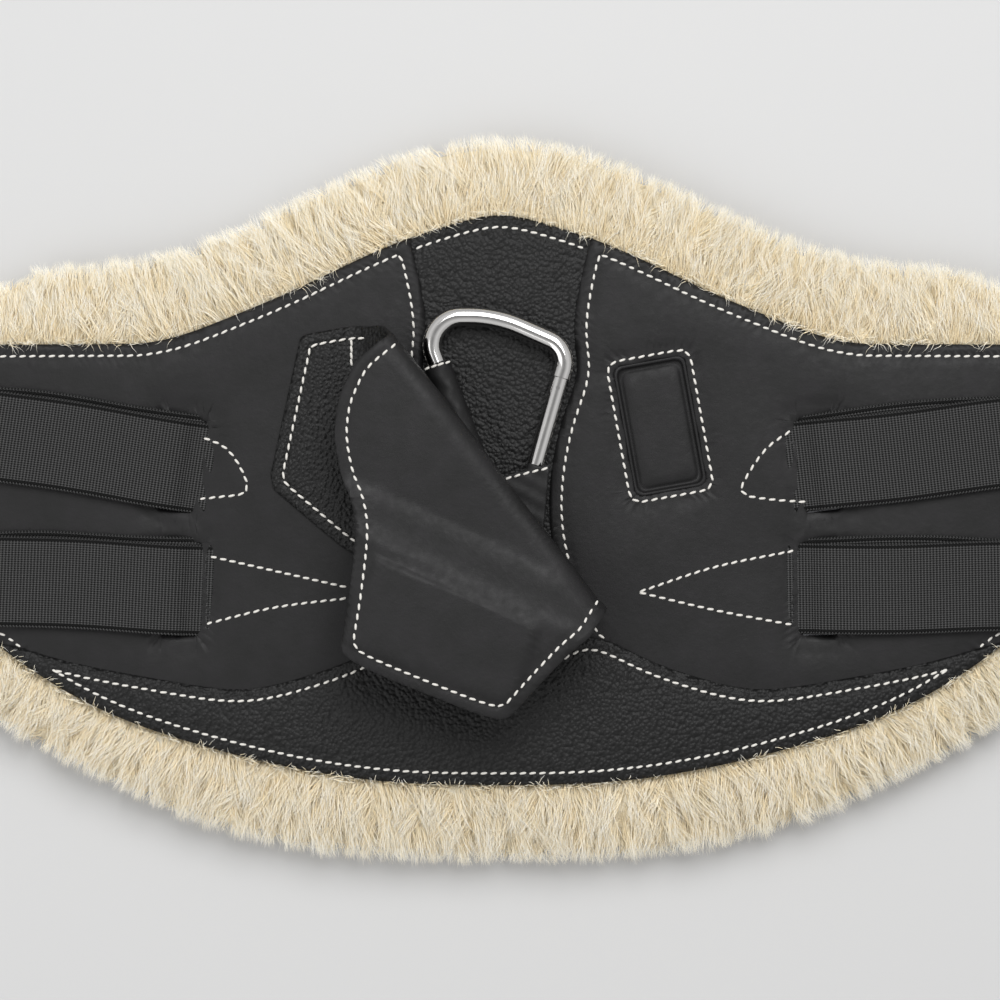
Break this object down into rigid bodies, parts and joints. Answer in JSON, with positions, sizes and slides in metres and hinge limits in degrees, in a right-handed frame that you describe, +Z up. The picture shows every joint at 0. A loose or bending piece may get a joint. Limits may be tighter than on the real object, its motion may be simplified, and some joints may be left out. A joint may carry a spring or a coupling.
{
  "type": "saddle girth",
  "caption": "Short saddle girth with wool backing, shaped leather body, doubled elastics with roller buckles, and a front carabiner under a magnetic cover flap.",
  "frame": {"origin": "on the floor under the middle of the girth's bounding box", "axes": "+X along the girth, +Y towards its front edge, +Z up from the floor, outer face up"},
  "size_m": [0.5989, 0.3028, 0.0621],
  "materials": {
    "smooth_leather": "matte",
    "grained_leather": "matte",
    "lining_leather": "matte",
    "wool": "matte",
    "hide": "matte",
    "foam": "matte",
    "webbing": "matte",
    "elastic": "matte",
    "steel": "polished",
    "magnet": "satin"
  },
  "bodies": {
    "girth": {"fleece_pile": "wool", "sheepskin_pelt": "hide", "back_lining": "lining_leather", "foam_pad": "foam", "front_load_web": "webbing", "rear_load_web": "webbing", "centre_panel": "grained_leather", "left_panel": "smooth_leather", "right_panel": "smooth_leather", "belly_panel": "grained_leather", "magnet_seat": "smooth_leather", "seat_magnet": "magnet", "carabiner_body": "steel", "carabiner_keeper": "smooth_leather", "flap_base": "grained_leather", "left_front_elastic": "elastic", "left_rear_elastic": "elastic", "right_front_elastic": "elastic", "right_rear_elastic": "elastic"},
    "flap": {"flap_end": "grained_leather", "flap_magnet": "magnet", "flap_bend": "grained_leather"},
    "gate": {"carabiner_gate": "steel", "gate_rivet": "steel", "gate_latch_pin": "steel", "gate_spring": "steel", "gate_plunger": "steel"},
    "left_front_frame": {"left_front_buckle_frame": "steel"},
    "left_front_tongue": {"left_front_buckle_tongue": "steel"},
    "left_front_roller": {"left_front_buckle_roller": "steel"},
    "left_rear_frame": {"left_rear_buckle_frame": "steel"},
    "left_rear_tongue": {"left_rear_buckle_tongue": "steel"},
    "left_rear_roller": {"left_rear_buckle_roller": "steel"},
    "right_front_frame": {"right_front_buckle_frame": "steel"},
    "right_front_tongue": {"right_front_buckle_tongue": "steel"},
    "right_front_roller": {"right_front_buckle_roller": "steel"},
    "right_rear_frame": {"right_rear_buckle_frame": "steel"},
    "right_rear_tongue": {"right_rear_buckle_tongue": "steel"},
    "right_rear_roller": {"right_rear_buckle_roller": "steel"}
  },
  "joints": [
    {"name": "flap_fold", "type": "hinge", "parent": "girth", "child": "flap", "pos_m": [0.00316, 0.01062, 0.044], "axis": [-0.6088, 0.7934, 0], "range_deg": [0, 180], "deforming": ["flap_bend"]},
    {"name": "gate_hinge", "type": "hinge", "parent": "girth", "child": "gate", "pos_m": [0.0129, 0.0083, 0.0297], "axis": [0, 0, 1], "range_deg": [0, 28], "stiffness_Nm_per_rad": 0.5, "springref_deg": -20.05},
    {"name": "left_front_buckle_swing", "type": "hinge", "parent": "girth", "child": "left_front_frame", "pos_m": [-0.262, 0.03517, 0.0047], "axis": [0.1547, 0.988, 0], "range_deg": [-50, 55]},
    {"name": "left_front_tongue_lift", "type": "hinge", "parent": "left_front_frame", "child": "left_front_tongue", "pos_m": [-0.262, 0.03517, 0.0047], "axis": [0.1547, 0.988, 0], "range_deg": [0, 75]},
    {"name": "left_front_roller_spin", "type": "hinge", "parent": "left_front_frame", "child": "left_front_roller", "pos_m": [-0.29362, 0.04012, 0.0047], "axis": [0.1547, 0.988, 0], "continuous": true},
    {"name": "left_rear_buckle_swing", "type": "hinge", "parent": "girth", "child": "left_rear_frame", "pos_m": [-0.262, -0.03121, 0.0047], "axis": [0.0454, 0.999, 0], "range_deg": [-50, 55]},
    {"name": "left_rear_tongue_lift", "type": "hinge", "parent": "left_rear_frame", "child": "left_rear_tongue", "pos_m": [-0.262, -0.03121, 0.0047], "axis": [0.0454, 0.999, 0], "range_deg": [0, 75]},
    {"name": "left_rear_roller_spin", "type": "hinge", "parent": "left_rear_frame", "child": "left_rear_roller", "pos_m": [-0.29397, -0.02975, 0.0047], "axis": [0.0454, 0.999, 0], "continuous": true},
    {"name": "right_front_buckle_swing", "type": "hinge", "parent": "girth", "child": "right_front_frame", "pos_m": [0.262, 0.03001, 0.0047], "axis": [0.1167, -0.9932, 0], "range_deg": [-50, 55]},
    {"name": "right_front_tongue_lift", "type": "hinge", "parent": "right_front_frame", "child": "right_front_tongue", "pos_m": [0.262, 0.03001, 0.0047], "axis": [0.1167, -0.9932, 0], "range_deg": [0, 75]},
    {"name": "right_front_roller_spin", "type": "hinge", "parent": "right_front_frame", "child": "right_front_roller", "pos_m": [0.29378, 0.03374, 0.0047], "axis": [0.1167, -0.9932, 0], "continuous": true},
    {"name": "right_rear_buckle_swing", "type": "hinge", "parent": "girth", "child": "right_rear_frame", "pos_m": [0.262, -0.03536, 0.0047], "axis": [0.014, -0.9999, 0], "range_deg": [-50, 55]},
    {"name": "right_rear_tongue_lift", "type": "hinge", "parent": "right_rear_frame", "child": "right_rear_tongue", "pos_m": [0.262, -0.03536, 0.0047], "axis": [0.014, -0.9999, 0], "range_deg": [0, 75]},
    {"name": "right_rear_roller_spin", "type": "hinge", "parent": "right_rear_frame", "child": "right_rear_roller", "pos_m": [0.294, -0.03491, 0.0047], "axis": [0.014, -0.9999, 0], "continuous": true}
  ]
}
